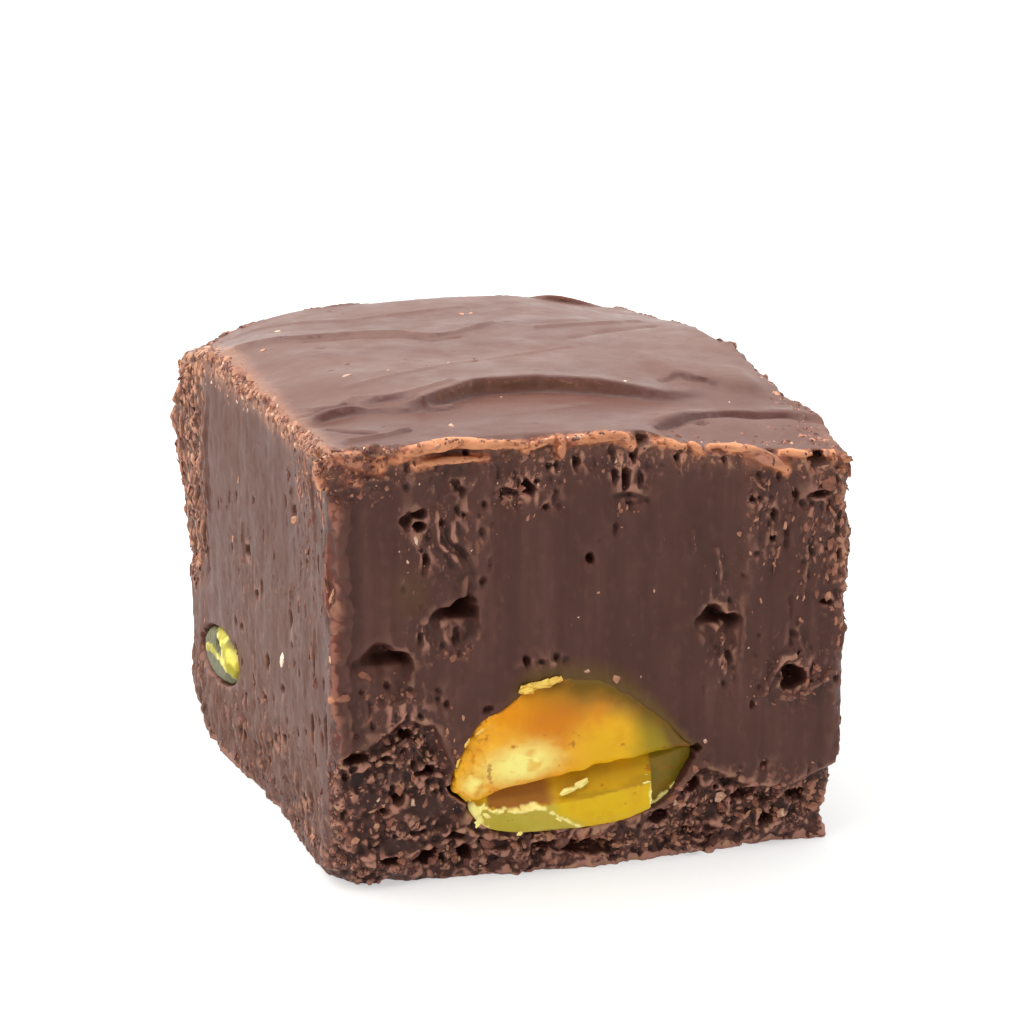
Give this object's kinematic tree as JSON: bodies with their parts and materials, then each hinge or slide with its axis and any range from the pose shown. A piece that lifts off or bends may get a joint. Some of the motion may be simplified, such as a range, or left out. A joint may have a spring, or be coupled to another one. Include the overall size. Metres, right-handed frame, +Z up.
{
  "type": "piece of chocolate fudge",
  "caption": "Hand-cut block of chocolate fudge with a folded skin on top, crumbly broken edges and pistachio kernels exposed in its cut sides.",
  "frame": {"origin": "middle of the flat underside", "axes": "+Z up, +Y to the back, +X to the right seen from the side with the large kernel"},
  "size_m": [0.0313, 0.0373, 0.0258],
  "materials": {
    "fudge": "matte chocolate fudge, drier and greyer on the poured top, crumbly tan edges",
    "pistachio_amber": "smooth oily kernel flesh, amber to yellow",
    "pistachio_yellow": "knife-cut kernel flesh, yellow-green",
    "pistachio_green": "broken kernel flesh, green with a dark skin"
  },
  "bodies": {
    "root": {"fudge_block": "fudge", "pistachio_front_upper": "pistachio_amber", "pistachio_front_lower": "pistachio_yellow", "pistachio_left": "pistachio_green"}
  },
  "joints": []
}
